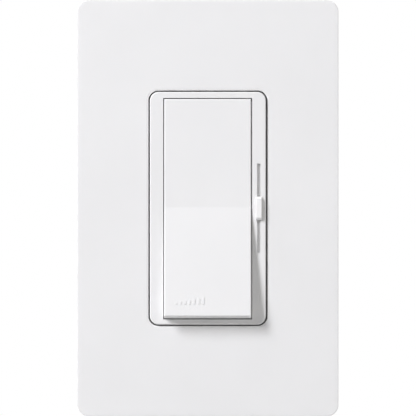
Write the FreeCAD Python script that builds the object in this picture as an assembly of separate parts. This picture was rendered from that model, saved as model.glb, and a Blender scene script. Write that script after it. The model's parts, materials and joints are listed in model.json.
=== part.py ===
"""Decorator style paddle dimmer for one wall box, with its screwless wall plate.

Millimetres. +X is to the right as a user sees the switch, +Z is up, and the user stands at -Y.
The origin is on the wall plane, midway between the two screws that hold the yoke to the wall box.
Everything in front of the wall has a negative y; the case hangs into the wall box at positive y.
The paddle is modelled at mid swing about its pivot and then turned to its ON rest pose, and so is
the contact blade behind it. The slider rests at the middle of its travel.
"""
import FreeCAD, Part
import math
import os

V = FreeCAD.Vector
X_AXIS, Y_AXIS, Z_AXIS = V(1, 0, 0), V(0, 1, 0), V(0, 0, 1)
SIDES = (-1, 1)

# ---- Driving dimensions -------------------------------------------------------------------------

FIT = 0.1            # small assembly clearance between separate moulded or stamped pieces

# Wall plate: the cover and the adapter that it clips to.
COVER_W, COVER_H = 74.7, 119.1
COVER_DEPTH = 7.75
COVER_WALL = 1.8
COVER_CORNER = 3.3
COVER_FALL, COVER_FALL_W = 0.03, 1.0         # the face falls away this much along its outer rim
COVER_EDGE = 0.18
OPENING_W, OPENING_H, OPENING_CORNER = 34.0, 67.4, 2.85
OPENING_FALL, OPENING_FALL_W = 0.10, 0.60    # and this much round the opening
OPENING_EDGE = 0.18
COLLAR_WALL, COLLAR_DEPTH = 1.3, 1.5
ADAPTER_W, ADAPTER_H, ADAPTER_T = 70.6, 115.0, 1.6
ADAPTER_OPENING_W, ADAPTER_OPENING_H = 34.8, 68.4
BOSS_T = 1.2                 # how far the screw bosses stand in front of the adapter
LATCH_REACH, LATCH_LENGTH = 0.55, 9.0

# Yoke: the aluminium strap and heat sink.
YOKE_T = 1.6
YOKE_W, YOKE_MID_H = 64.0, 72.0
YOKE_EAR_W, YOKE_H = 44.0, 106.4
FIN_LINE_X = 24.0
BOX_SCREW_Z = 83.3 / 2       # wall box screws
PLATE_SCREW_Z = 96.8 / 2     # adapter screws
GROUND_Y, GROUND_Z = 5.2, -29.0
TAB_X, TAB_Y, TAB_Z = (-13.0, -11.4), 9.6, (-32.5, -25.5)     # the bent tab for the ground screw

# Number 6-32 screws.
THREAD_R = 1.75
NECK_R = 1.5
NECK_END = 0.4               # the wall box screws are threaded from here back
BOX_SCREW_END = 21.8
BOX_HEAD_R, BOX_HEAD_T = 3.35, 2.0
PLATE_HEAD_R, PLATE_SCREW_END = 3.4, 3.5

# Bezel: the moulded frame round the paddle.
BEZEL_W, BEZEL_H, BEZEL_CORNER = 33.2, 66.6, 2.5
BEZEL_FRONT = -8.4
BEZEL_EDGE = 0.35
BEZEL_SKIN = 1.1
SLOT_SKIN = 0.65             # the thinner wall that the slider's slot goes through
BEZEL_FLANGE_W, BEZEL_FLANGE_H, BEZEL_FLANGE_T = 34.6, 68.2, 1.4
PADDLE_OPENING_W = 25.42
PADDLE_GAP_R = 0.29          # radial gap at the paddle's curved ends
LEG_Z = 19.9                 # height of the snap legs, above and below the middle

# Paddle: two flat halves that meet in a shallow valley.
PADDLE_W = 24.9
PADDLE_X = -0.06             # the paddle and its opening sit a hair left of the middle
PADDLE_R = {1: 31.5, -1: 31.73}    # its upper and lower curved ends are centred on the pivot
PIVOT_Y = -4.4
FACE_TO_PIVOT = 4.33
FACE_TILT = 3.0              # degrees between each half face and the plane of the valley
HALF_SWING = 3.6             # degrees each way from mid swing
PADDLE_SKIN, PADDLE_WALL = 1.8, 1.3
PADDLE_EDGE = 0.38
TRUNNION_R = 1.2
PLUNGER_REACH = 9.22         # pivot to plunger tip

# Slider.
SLOT_X = 14.55
SLOT_W, SLOT_HALF = 0.95, 12.78
TRAVEL = 9.6
KNOB_W, KNOB_HALF, KNOB_H = 1.75, 3.32, 0.95
STRIP_HALF, STRIP_T = 22.5, 0.8

# Switch mechanism.
BLADE_Y = 6.2                # the contact blade's rocking axis
BLADE_SWING = 5.0            # degrees each way
BLADE_W, BLADE_HALF, BLADE_T = 6.0, 12.0, 0.8
CONTACT_Z = 10.5

# Circuit board and case.
BOARD_Y, BOARD_T = 11.0, 1.6
CASE_W, CASE_H, CASE_DEPTH, CASE_WALL = 41.0, 67.0, 30.5, 1.8
CASE_CORNER = 1.6
NOTCH_X, NOTCH_Z = -11.0, -24.5
TERMINAL_Z, TERMINAL_Y = 12.0, 21.0
POCKET_HALF, POCKET_FLOOR, POCKET_TOP, POCKET_WALL = 5.2, 15.9, 15.0, 1.5
CASE_SCREWS = ((17.0, 29.8), (-17.0, 29.8), (17.0, -29.8), (-5.0, -29.8))
TRIAC_Z, TRIAC_HOLE_X = 24.1, -10.0
CHOKE_X, CHOKE_Z = -1.5, -13.0

# Levels worked out from the above.
COVER_FRONT = -COVER_DEPTH
COVER_INSIDE = COVER_FRONT + COVER_WALL
YOKE_FRONT = -YOKE_T
ADAPTER_FRONT = YOKE_FRONT - ADAPTER_T
STRIP_FRONT = BEZEL_FRONT + SLOT_SKIN + FIT
STRIP_BACK = STRIP_FRONT + STRIP_T
BOARD_BACK = BOARD_Y + BOARD_T
CASE_FLOOR = CASE_DEPTH - CASE_WALL


# ---- Building helpers ---------------------------------------------------------------------------

def block(x, y, z):
    """A box from (low, high) pairs."""
    return Part.makeBox(x[1] - x[0], y[1] - y[0], z[1] - z[0], V(x[0], y[0], z[0]))


def centred(cx, wx, y, cz, wz):
    """A box centred at cx and cz, wx by wz, over the (low, high) pair y."""
    return block((cx - wx / 2, cx + wx / 2), y, (cz - wz / 2, cz + wz / 2))


def rod_y(r, x, z, y0, y1):
    return Part.makeCylinder(r, y1 - y0, V(x, y0, z), Y_AXIS)


def rod_x(r, x0, x1, y, z):
    return Part.makeCylinder(r, x1 - x0, V(x0, y, z), X_AXIS)


def rod_z(r, x, y, z0, z1):
    return Part.makeCylinder(r, z1 - z0, V(x, y, z0), Z_AXIS)


def cone_y(r0, r1, x, z, y0, y1):
    return Part.makeCone(r0, r1, y1 - y0, V(x, y0, z), Y_AXIS)


def slab(width, height, corner, y0, y1, cx=0.0, cz=0.0):
    """A rounded rectangle in the XZ plane, drawn out from y0 to y1."""
    solid = centred(cx, width, (y0, y1), cz, height)
    if corner <= 0:
        return solid
    return solid.makeFillet(corner, upright_edges(solid))


def rim_wire(width, height, corner, y):
    """The outline of a rounded rectangle in the plane at y."""
    solid = slab(width, height, corner, y, y + 1)
    return next(f for f in solid.Faces if abs(f.CenterOfMass.y - y) < 1e-6).OuterWire


def sloping_slab(width, height, corner, y, spread, y_spread):
    """A rounded rectangle at y that is spread wider on every side by the plane at y_spread."""
    far = rim_wire(width + 2 * spread, height + 2 * spread, corner + spread, y_spread)
    return Part.makeLoft([rim_wire(width, height, corner, y), far], True, True)


def upright_edges(shape):
    """The straight edges that run along Y."""
    return [e for e in shape.Edges if abs(e.tangentAt(e.FirstParameter).y) > 0.999 and e.Length > 1e-6]


def edges_at(shape, y):
    """The edges that lie in the plane at y."""
    return [e for e in shape.Edges if abs(e.BoundBox.YMin - y) < 1e-4 and abs(e.BoundBox.YMax - y) < 1e-4]


def fuse(*shapes):
    whole = shapes[0].multiFuse(list(shapes[1:])) if len(shapes) > 1 else shapes[0]
    return whole.removeSplitter()


def cut(shape, *tools):
    """The shape less every tool."""
    return shape.cut(list(tools)) if tools else shape


def turned(shape, degrees, y):
    """The shape turned about the X axis line at height y, z = 0."""
    copy = shape.copy()
    copy.rotate(V(0, y, 0), X_AXIS, degrees)
    return copy


def prism_x(points, x0, x1):
    """A straight-sided YZ outline drawn out along X."""
    wire = Part.makePolygon([V(x0, y, z) for y, z in points] + [V(x0, *points[0])])
    return Part.Face(wire).extrude(V(x1 - x0, 0, 0))


def cross_recessed(screw, head_x, head_z, y_top, radius, depth=1.0, width=1.1):
    """The screw with a cross recess in its head, which faces -Y."""
    bar = radius * 1.3
    across = centred(head_x, bar, (y_top - 1, y_top + depth), head_z, width)
    along = centred(head_x, width, (y_top - 1, y_top + depth), head_z, bar)
    return cut(screw, across, along)


# ---- Wall plate ---------------------------------------------------------------------------------

def latch_places():
    """(side axis, side, position along that side) of each latch."""
    for side in SIDES:
        for z in (-42.0, -14.0, 14.0, 42.0):
            yield "x", side, z
        for x in (-18.0, 18.0):
            yield "z", side, x


def latch_rib(axis, side, along):
    """A small catch inside the cover's wall, ramped so that it rides over the adapter's edge."""
    half = (COVER_W if axis == "x" else COVER_H) / 2 - COVER_WALL
    y_lead, y_catch, y_crest = -0.35, -1.45, -1.15
    outline = [V(half, y_lead, 0), V(half - LATCH_REACH, y_crest, 0),
               V(half - LATCH_REACH, y_catch, 0), V(half, y_catch, 0)]
    face = Part.Face(Part.makePolygon(outline + [outline[0]]))
    rib = face.extrude(V(0, 0, LATCH_LENGTH))
    rib.translate(V(0, 0, -LATCH_LENGTH / 2))
    turn = {("x", 1): 0, ("z", 1): -90, ("x", -1): 180, ("z", -1): 90}[(axis, side)]
    rib.rotate(V(0, 0, 0), Y_AXIS, turn)
    rib.translate(V(0, 0, along) if axis == "x" else V(along, 0, 0))
    return rib


def mouth_edges(cover, y):
    """The edges of the cover's opening in the plane at y."""
    return [e for e in edges_at(cover, y)
            if abs(e.CenterOfMass.x) < OPENING_W / 2 + 1 and abs(e.CenterOfMass.z) < OPENING_H / 2 + 1]


def cover_plate():
    rim_y = COVER_FRONT + COVER_FALL
    crown = sloping_slab(COVER_W - 2 * COVER_FALL_W, COVER_H - 2 * COVER_FALL_W, COVER_CORNER - COVER_FALL_W,
                         COVER_FRONT, COVER_FALL_W, rim_y)
    shell = fuse(slab(COVER_W, COVER_H, COVER_CORNER, rim_y, 0), crown)
    shell = shell.makeFillet(COVER_EDGE, edges_at(shell, rim_y))
    hollow = slab(COVER_W - 2 * COVER_WALL, COVER_H - 2 * COVER_WALL,
                  COVER_CORNER - COVER_WALL, COVER_INSIDE, 1)
    collar = slab(OPENING_W + 2 * COLLAR_WALL, OPENING_H + 2 * COLLAR_WALL,
                  OPENING_CORNER + COLLAR_WALL, COVER_INSIDE - 0.5, COVER_INSIDE + COLLAR_DEPTH)
    body = fuse(cut(shell, hollow), collar)
    mouth_y = COVER_FRONT + OPENING_FALL
    opening = slab(OPENING_W, OPENING_H, OPENING_CORNER, COVER_FRONT - 1, 1)
    bevel = sloping_slab(OPENING_W, OPENING_H, OPENING_CORNER, mouth_y, OPENING_FALL_W, COVER_FRONT)
    body = cut(body, opening, bevel)
    body = body.makeFillet(OPENING_EDGE, mouth_edges(body, mouth_y))
    body = fuse(body, *[latch_rib(*place) for place in latch_places()])
    pry_notch = centred(0, 9.0, (-1.3, 1), -COVER_H / 2, 2 * COVER_WALL + 1)
    return cut(body, pry_notch)


def adapter_plate():
    plate = slab(ADAPTER_W, ADAPTER_H, 2.4, ADAPTER_FRONT, YOKE_FRONT)
    skirt_outer = slab(ADAPTER_W - 2.2, ADAPTER_H - 2.2, 1.6, YOKE_FRONT, -0.2)
    skirt_inner = slab(ADAPTER_W - 4.6, ADAPTER_H - 4.6, 1.0, YOKE_FRONT - 1, 1)
    rim_outer = slab(ADAPTER_W - 4.0, ADAPTER_H - 4.0, 1.6, COVER_INSIDE + FIT, ADAPTER_FRONT)
    rim_inner = slab(ADAPTER_W - 6.4, ADAPTER_H - 6.4, 1.0, COVER_INSIDE - 1, 0)
    ring_w, ring_h = ADAPTER_OPENING_W + 7.4, ADAPTER_OPENING_H + 7.4
    ring_outer = slab(ring_w, ring_h, 3.0, COVER_INSIDE + FIT, ADAPTER_FRONT)
    ring_inner = slab(ring_w - 2.8, ring_h - 2.8, 2.4, COVER_INSIDE - 1, 0)
    ring = cut(ring_outer, ring_inner)
    pieces = [plate, cut(skirt_outer, skirt_inner), cut(rim_outer, rim_inner), ring]
    rib_y = (COVER_INSIDE + 2 * FIT, ADAPTER_FRONT)
    for z in (-24.0, -8.0, 8.0, 24.0):
        for side in SIDES:
            pieces.append(centred(side * 26.6, 11.6, rib_y, z, 1.0))
    for side in SIDES:
        for x in (-21.0, -9.0, 9.0, 21.0):
            pieces.append(centred(x, 1.0, rib_y, side * 46.4, 17.2))
        pieces.append(rod_y(5.0, 0, side * PLATE_SCREW_Z, ADAPTER_FRONT - BOSS_T, ADAPTER_FRONT))
    body = fuse(*pieces)
    tools = [slab(ADAPTER_OPENING_W, ADAPTER_OPENING_H, 2.6, COVER_INSIDE - 1, 1)]
    for side in SIDES:
        z = side * PLATE_SCREW_Z
        tools.append(rod_y(3.9, 0, side * BOX_SCREW_Z, COVER_INSIDE - 1, 1))
        tools.append(cone_y(PLATE_HEAD_R + 0.1, 1.95, 0, z, ADAPTER_FRONT - BOSS_T, ADAPTER_FRONT + 0.9))
        tools.append(rod_y(1.95, 0, z, ADAPTER_FRONT - 1, 1))
    return cut(body, *tools)


def adapter_screws():
    top = ADAPTER_FRONT - BOSS_T + 0.05
    made = []
    for side in SIDES:
        z = side * PLATE_SCREW_Z
        head = cone_y(PLATE_HEAD_R, THREAD_R, 0, z, top, top + 2.0)
        shank = rod_y(THREAD_R, 0, z, top + 2.0, PLATE_SCREW_END)
        made.append(cut(fuse(head, shank), centred(0, 8, (top - 1, top + 0.95), z, 1.0)))
    return made


# ---- Yoke and its screws ------------------------------------------------------------------------

def yoke_heatsink():
    middle = slab(YOKE_W, YOKE_MID_H, 2.5, YOKE_FRONT, 0)
    ears = slab(YOKE_EAR_W, YOKE_H, 4.0, YOKE_FRONT, 0)
    tab = block(TAB_X, (YOKE_FRONT, TAB_Y), TAB_Z)
    tab = tab.makeFillet(2.0, [e for e in tab.Edges if abs(e.CenterOfMass.y - TAB_Y) < 1e-4
                               and abs(e.tangentAt(e.FirstParameter).x) > 0.999])
    body = fuse(middle, ears, tab)
    through = (YOKE_FRONT - 1, 1)
    tools = [slab(9.0, 9.0, 1.0, *through)]
    tools.append(slab(2.5, 2 * (TRAVEL + 3.8), 0.6, *through, cx=SLOT_X))
    tools.append(block((-22.5, TAB_X[0]), through, TAB_Z))
    for x in SIDES:
        for z in SIDES:
            tools.append(slab(1.9, 5.2, 0.4, *through, cx=x * 16.35, cz=z * LEG_Z))
        tools.append(score_groove(x * FIN_LINE_X))
        for z in (-24.0, -8.0, 8.0, 24.0):
            if (x, z) != (-1, -24.0):
                tools.append(slab(1.2, 9.0, 0.55, *through, cx=x * FIN_LINE_X, cz=z))
    for side in SIDES:
        tools.append(slab(7.0, 4.0, 1.95, *through, cz=side * BOX_SCREW_Z))
        tools.append(rod_y(THREAD_R + 0.05, 0, side * PLATE_SCREW_Z, *through))
    for x, z in CASE_SCREWS:
        tools.append(cone_y(2.65, 1.45, x, z, YOKE_FRONT, YOKE_FRONT + 1.2))
        tools.append(rod_y(1.45, x, z, *through))
    tools.append(cone_y(2.75, 1.65, TRIAC_HOLE_X, TRIAC_Z, YOKE_FRONT, YOKE_FRONT + 1.1))
    tools.append(rod_y(1.65, TRIAC_HOLE_X, TRIAC_Z, *through))
    tools.append(rod_x(THREAD_R + 0.05, -14, -11, GROUND_Y, GROUND_Z))
    return cut(body, *tools)


def score_groove(x):
    """The V score that a side fin snaps off along."""
    depth, half = 0.5, 0.45
    z = YOKE_MID_H / 2 + 1
    outline = [V(x - half, YOKE_FRONT, -z), V(x + half, YOKE_FRONT, -z), V(x, YOKE_FRONT + depth, -z)]
    return Part.Face(Part.makePolygon(outline + [outline[0]])).extrude(V(0, 0, 2 * z))


def mounting_screws():
    top = YOKE_FRONT - BOX_HEAD_T
    made = []
    for side in SIDES:
        z = side * BOX_SCREW_Z
        head = rod_y(BOX_HEAD_R, 0, z, top, YOKE_FRONT)
        head = head.makeFillet(1.2, edges_at(head, top))
        neck = rod_y(NECK_R, 0, z, YOKE_FRONT, NECK_END)
        thread = rod_y(THREAD_R, 0, z, NECK_END, BOX_SCREW_END)
        thread = thread.makeChamfer(0.6, edges_at(thread, BOX_SCREW_END))
        made.append(cross_recessed(fuse(head, neck, thread), 0, z, top, BOX_HEAD_R))
    return made


def screw_retainers():
    made = []
    for side in SIDES:
        washer = slab(9.0, 9.0, 0.8, 0, NECK_END - 0.05, cz=side * BOX_SCREW_Z)
        made.append(cut(washer, rod_y(NECK_R + 0.05, 0, side * BOX_SCREW_Z, -1, 1)))
    return made


def case_screws():
    made = []
    for x, z in CASE_SCREWS:
        head = cone_y(2.55, 1.3, x, z, YOKE_FRONT, YOKE_FRONT + 1.25)
        shank = rod_y(1.3, x, z, YOKE_FRONT + 1.25, 8.5)
        point = cone_y(1.3, 0.5, x, z, 8.5, 9.6)
        made.append(cross_recessed(fuse(head, shank, point), x, z, YOKE_FRONT, 2.5, 0.8, 0.6))
    return made


def ground_screw():
    """The hexagon head screw in the yoke's tab, with a slot and a domed head."""
    y, z = GROUND_Y, GROUND_Z
    top, under = -17.2, -15.0
    radius, dome_r = 4.0, 7.0
    turns = [math.radians(60 * i) for i in range(6)]
    corners = [V(top, y + radius * math.cos(turn), z + radius * math.sin(turn)) for turn in turns]
    head = Part.Face(Part.makePolygon(corners + [corners[0]])).extrude(V(under - top, 0, 0))
    head = head.common(Part.makeSphere(dome_r, V(top + dome_r - 0.15, y, z)))
    shank = rod_x(THREAD_R, under, -11.1, y, z)
    slot = block((top - 1, top + 1), (y - 5, y + 5), (z - 0.5, z + 0.5))
    return cut(fuse(head, shank), slot)


# ---- Bezel, paddle and slider -------------------------------------------------------------------

def bezel_frame():
    body = slab(BEZEL_W, BEZEL_H, BEZEL_CORNER, BEZEL_FRONT, YOKE_FRONT)
    body = body.makeFillet(BEZEL_EDGE, edges_at(body, BEZEL_FRONT))
    flange = slab(BEZEL_FLANGE_W, BEZEL_FLANGE_H, 2.6, YOKE_FRONT - BEZEL_FLANGE_T, YOKE_FRONT)
    body = fuse(body, flange)
    behind_slot = BEZEL_FRONT + SLOT_SKIN
    strip_room = slider_room(13.1, behind_slot, STRIP_BACK + FIT)
    arm_room = slider_room(13.6, STRIP_BACK, YOKE_FRONT + 1)
    left_room = block((-15.45, -13.7), (BEZEL_FRONT + BEZEL_SKIN, YOKE_FRONT + 1), (-31.0, 31.0))
    slot = centred(SLOT_X, SLOT_W, (BEZEL_FRONT - 1, behind_slot + FIT), 0, 2 * SLOT_HALF)
    tools = [paddle_mouth(), strip_room, arm_room, left_room, slot]
    for x0, x1 in ((-13.8, -12.6), (12.6, 13.7)):
        tools.append(rod_x(TRUNNION_R + 0.08, x0, x1, PIVOT_Y, 0))
        tools.append(block((x0, x1), (PIVOT_Y, YOKE_FRONT + 1), (-1.05, 1.05)))
    body = cut(body, *tools)
    legs = [snap_leg(x, z * LEG_Z) for x in SIDES for z in SIDES]
    return fuse(body, *legs)


def paddle_mouth():
    """The opening for the paddle, whose ends are curved about the pivot like the paddle's own."""
    ends = []
    for side in SIDES:
        end = Part.makeCylinder(PADDLE_R[side] + PADDLE_GAP_R, PADDLE_OPENING_W,
                                V(PADDLE_X - PADDLE_OPENING_W / 2, PIVOT_Y, 0), X_AXIS)
        y = (BEZEL_FRONT - 1, YOKE_FRONT + 1)
        ends.append(end.common(block((-13, 13), y, sorted((0, side * 40)))))
    return fuse(*ends)


def slider_room(inner_x, y0, y1):
    """The space behind the slot that the carriage slides in, with its outer corners rounded."""
    half = BEZEL_H / 2 - 1.0
    room = block((inner_x, 15.85), (y0, y1), (-half, half))
    return room.makeFillet(1.5, [e for e in upright_edges(room) if e.CenterOfMass.x > 15])


def snap_leg(side, z):
    """A leg through the yoke with a barb that hooks behind it."""
    inner, outer, barb = 15.65, 16.6, 17.15
    leg = [(inner, YOKE_FRONT - 2.0), (outer, YOKE_FRONT - 2.0), (outer, 0.08), (barb, 0.08),
           (barb, 0.5), (inner + 0.3, 2.2), (inner, 2.2)]
    wire = Part.makePolygon([V(side * x, y, z - 2.4) for x, y in leg + leg[:1]])
    return Part.Face(wire).extrude(V(0, 0, 4.8))


def half_plane_point(distance, along, side):
    """A point in (y, z) from the pivot: distance in front of it, along one half of the paddle."""
    tilt = math.radians(FACE_TILT)
    y = -distance * math.cos(tilt) - along * math.sin(tilt)
    z = -distance * math.sin(tilt) + along * math.cos(tilt)
    return y, side * z


def valley_block(distance, inset, back, half):
    """The paddle's side view drawn out to half each way: two half faces, curved ends, a flat back.

    The half faces are distance in front of the pivot; the ends are inset from the paddle's own.
    """
    x0 = PADDLE_X - half
    valley = V(x0, PIVOT_Y - distance / math.cos(math.radians(FACE_TILT)), 0)
    points = {}
    for side in SIDES:
        radius = PADDLE_R[side] - inset
        reach = math.sqrt(radius ** 2 - distance ** 2)
        y, z = half_plane_point(distance, reach, side)
        z_back = side * math.sqrt(radius ** 2 - back ** 2)
        angle = (math.atan2(z, y) + math.atan2(z_back, back)) / 2
        middle = V(x0, PIVOT_Y + radius * math.cos(angle), radius * math.sin(angle))
        points[side] = (V(x0, PIVOT_Y + y, z), middle, V(x0, PIVOT_Y + back, z_back))
    low, high = points[-1], points[1]
    edges = [Part.LineSegment(valley, high[0]).toShape(), Part.Arc(*high).toShape(),
             Part.LineSegment(high[2], low[2]).toShape(), Part.Arc(*low).toShape(),
             Part.LineSegment(low[0], valley).toShape()]
    face = Part.Face(Part.Wire(Part.__sortEdges__(edges)))
    return face.extrude(V(2 * half, 0, 0))


def rocker_paddle():
    back = -0.6
    half = PADDLE_W / 2
    shell = valley_block(FACE_TO_PIVOT, 0, back, half)
    rim = [e for e in shell.Edges if e.BoundBox.YMax < PIVOT_Y + back - 0.01
           and not (abs(e.CenterOfMass.z) < 0.01 and e.BoundBox.XLength > 1)]
    shell = shell.makeFillet(PADDLE_EDGE, rim)
    inside = half - PADDLE_WALL
    hollow = valley_block(FACE_TO_PIVOT - PADDLE_SKIN, 1.5, 4.0, inside)
    body = cut(shell, hollow)
    skin_back = PIVOT_Y - FACE_TO_PIVOT + PADDLE_SKIN - 0.6
    pieces = [body]
    skin_top = valley_block(FACE_TO_PIVOT - PADDLE_SKIN + 0.3, 1.0, 5.0, inside)
    for x in (-6.5, 6.5):
        pieces.append(centred(x, 1.0, (skin_back - 2, PIVOT_Y - 0.9), 0, 61.0).common(skin_top))
    for z in (-13.0, 13.0):
        pieces.append(centred(PADDLE_X, 2 * inside, (skin_back - 2, PIVOT_Y - 0.9), z, 1.0).common(skin_top))
    for z in (-26.1, 26.1):
        pieces.append(centred(0, 18.0, (skin_back - 3, PIVOT_Y + 0.95), z, 1.0).common(skin_top))
    pieces.append(rod_y(2.8, 0, 0, skin_back, PIVOT_Y + 6.4))
    for side in SIDES:
        boss = sorted(PADDLE_X + side * x for x in (inside, half))
        trunnion = sorted(PADDLE_X + side * x for x in (half - 0.5, half + 1.05))
        pieces.append(rod_x(2.1, *boss, PIVOT_Y, 0))
        pieces.append(rod_x(TRUNNION_R, *trunnion, PIVOT_Y, 0))
    body = fuse(*pieces)
    body = cut(body, rod_y(1.7, 0, 0, PIVOT_Y - 2.0, PIVOT_Y + 7))
    return turned(fuse(body, *dimming_mark()), -HALF_SWING, PIVOT_Y)


def dimming_mark():
    """A plain raised ramp of bars, low on the left of the paddle's face."""
    count, pitch, width, lift, root = 7, 1.3, 0.55, 0.12, 0.2
    first_x, base = -9.35, 28.0
    bars = []
    for i in range(count):
        tall = 0.5 + 1.5 * i / (count - 1)
        x = first_x + i * pitch
        corners = ((lift, base), (lift, base - tall), (-root, base - tall), (-root, base))
        points = [half_plane_point(FACE_TO_PIVOT + out, along, -1) for out, along in corners]
        bars.append(prism_x([(PIVOT_Y + y, z) for y, z in points], x, x + width))
    return bars


def plunger():
    tip_r = 1.4
    tip = PIVOT_Y + PLUNGER_REACH
    ball = Part.makeSphere(tip_r, V(0, tip - tip_r, 0))
    body = rod_y(1.6, 0, 0, PIVOT_Y + 4.9, tip - tip_r - 0.3)
    neck = rod_y(tip_r, 0, 0, tip - tip_r - 0.3, tip - tip_r)
    pin = rod_y(0.9, 0, 0, PIVOT_Y + 3.4, PIVOT_Y + 4.9)
    return turned(fuse(body, neck, ball, pin), -HALF_SWING, PIVOT_Y)


def plunger_spring():
    wire_r, coil_r = 0.2, 1.3
    start, end = -1.99 + wire_r, 4.89 - wire_r
    pitch = (end - start) / 7.0
    helix = Part.makeHelix(pitch, end - start, coil_r)
    profile = Part.Wire(Part.makeCircle(wire_r, V(coil_r, 0, 0), Y_AXIS))
    coil = Part.Wire(helix.Edges).makePipeShell([profile], True, True)
    coil.rotate(V(0, 0, 0), X_AXIS, -90)
    coil.translate(V(0, PIVOT_Y + start, 0))
    return turned(Part.Solid(coil) if coil.ShapeType != "Solid" else coil, -HALF_SWING, PIVOT_Y)


def slider_knob():
    top, base = BEZEL_FRONT - KNOB_H, BEZEL_FRONT - FIT
    bevel, side = 0.65, base - 0.35
    outline = [(base, -KNOB_HALF), (side, -KNOB_HALF), (top, -KNOB_HALF + bevel),
               (top, KNOB_HALF - bevel), (side, KNOB_HALF), (base, KNOB_HALF)]
    cap = prism_x(outline, SLOT_X - KNOB_W / 2, SLOT_X + KNOB_W / 2)
    cap = cap.makeFillet(0.22, [e for e in cap.Edges if e.BoundBox.YMax < side + 0.01])
    stem = centred(SLOT_X, 0.72, (base - 0.3, STRIP_FRONT), 0, 6.0)
    peg = centred(SLOT_X, 0.72, (STRIP_FRONT - 0.2, STRIP_FRONT + 0.65), 0, 3.6)
    return fuse(cap, stem, peg)


def slider_carriage():
    strip = block((13.3, 15.6), (STRIP_FRONT, STRIP_BACK), (-STRIP_HALF, STRIP_HALF))
    strip = strip.makeFillet(1.2, [e for e in upright_edges(strip) if e.CenterOfMass.x > 15])
    bridge = block((13.9, 15.4), (STRIP_BACK, -3.4), (-3.4, 3.4))
    prongs = [block((13.9, 15.4), (STRIP_BACK, 0.6), z) for z in ((-3.4, -1.6), (1.6, 3.4))]
    body = fuse(strip, bridge, *prongs)
    return cut(body, centred(SLOT_X, 0.76, (STRIP_FRONT - 1, STRIP_FRONT + 0.7), 0, 3.64))


# ---- Slide potentiometer ------------------------------------------------------------------------

POT_X, POT_HALF_W, POT_HALF = 14.7, 3.4, 16.6
POT_FRONT, POT_BACK = 1.4, 8.0


def pot_cover():
    outer = centred(POT_X, 2 * POT_HALF_W, (POT_FRONT, POT_BACK - 0.1), 0, 2 * POT_HALF)
    outer = outer.makeFillet(0.5, edges_at(outer, POT_FRONT))
    inner = centred(POT_X, 2 * POT_HALF_W - 1.0, (POT_FRONT + 0.5, POT_BACK), 0, 2 * POT_HALF - 1.0)
    lever_slot = slab(1.7, 2 * (TRAVEL + 2.1), 0.6, POT_FRONT - 1, POT_FRONT + 1, cx=SLOT_X)
    return cut(outer, inner, lever_slot)


def pot_base():
    base = centred(POT_X, 2 * POT_HALF_W - 1.1, (7.1, POT_BACK), 0, 2 * POT_HALF - 1.1)
    pins = [centred(POT_X + dx, 0.7, (POT_BACK - 0.2, BOARD_BACK + 0.8), z, 0.4)
            for dx in (-1.27, 1.27) for z in (-15.4, 15.4)]
    return fuse(base, *pins)


def pot_track():
    return [centred(POT_X + dx, 1.3, (6.98, 7.1), 0, 29.0) for dx in (-1.3, 1.3)]


def pot_lever():
    lever = block((14.04, 15.24), (-3.2, 3.4), (-1.5, 1.5))
    carrier = centred(POT_X, 4.8, (3.2, 5.2), 0, 6.0)
    return fuse(lever, carrier)


def wiper_contacts():
    made = []
    for dx in (-1.3, 1.3):
        pad = centred(POT_X + dx, 1.0, (5.2, 5.4), 0, 4.8)
        x0 = POT_X + dx - 0.4
        finger = prism_x([(5.2, -2.4), (5.4, -2.4), (6.88, 1.6), (6.88, 2.0), (6.72, 2.0)], x0, x0 + 0.8)
        made.append(fuse(pad, finger))
    return made


# ---- Switch mechanism ---------------------------------------------------------------------------

def contact_blade():
    hump_r, groove_r = 1.3, 0.72
    plate = block((-BLADE_W / 2, BLADE_W / 2), (BLADE_Y - BLADE_T, BLADE_Y), (-BLADE_HALF, BLADE_HALF))
    plate = plate.makeFillet(1.2, upright_edges(plate))
    hump = rod_x(hump_r, -BLADE_W / 2, BLADE_W / 2, BLADE_Y, 0)
    hump = hump.common(block((-4, 4), (BLADE_Y - 2, BLADE_Y), (-2, 2)))
    body = cut(fuse(plate, hump), rod_x(groove_r, -4, 4, BLADE_Y, 0))
    return turned(body, BLADE_SWING, BLADE_Y)


def moving_contacts():
    made = []
    for side in SIDES:
        z = side * CONTACT_Z
        button = rod_y(1.6, 0, z, BLADE_Y, BLADE_Y + 0.9)
        dome = Part.makeSphere(4.0, V(0, BLADE_Y + 0.9 - 4.0, z))
        made.append(turned(button.common(dome), BLADE_SWING, BLADE_Y))
    return made


def fixed_contacts():
    return [rod_y(1.7, 0, side * CONTACT_Z, 8.07, 8.85) for side in SIDES]


def fulcrum_bracket():
    tip = rod_x(0.62, -2.4, 2.4, BLADE_Y, 0)
    post = block((-2.4, 2.4), (BLADE_Y, 8.7), (-0.62, 0.62))
    foot = block((-3.5, 3.5), (8.6, 9.4), (-3.5, 3.5))
    tail = block((-1.2, 1.2), (9.3, BOARD_BACK + 0.9), (-0.4, 0.4))
    return fuse(tip, post, foot, tail)


def switch_base():
    y0, y1 = 0.3, BOARD_Y - 0.05
    body = block((-9.0, 9.0), (y0, y1), (-16.5, 16.5))
    body = body.makeFillet(1.0, upright_edges(body))
    tools = [block((-4.4, 4.4), (y0 - 1, 8.55), (-13.2, 13.2)),
             block((-3.6, 3.6), (8.5, 9.45), (-3.6, 3.6)),
             block((-1.3, 1.3), (9, y1 + 1), (-0.5, 0.5))]
    for side in SIDES:
        z = side * CONTACT_Z
        tools.append(block((-2.3, 10), (8.5, 9.7), (z - 2.1, z + 2.1)))
    for x in SIDES:
        tools.append(centred(x * 7.0, 2.2, (y0 - 1, 8.0), 0, 26.0))
    return cut(body, *tools)


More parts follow.
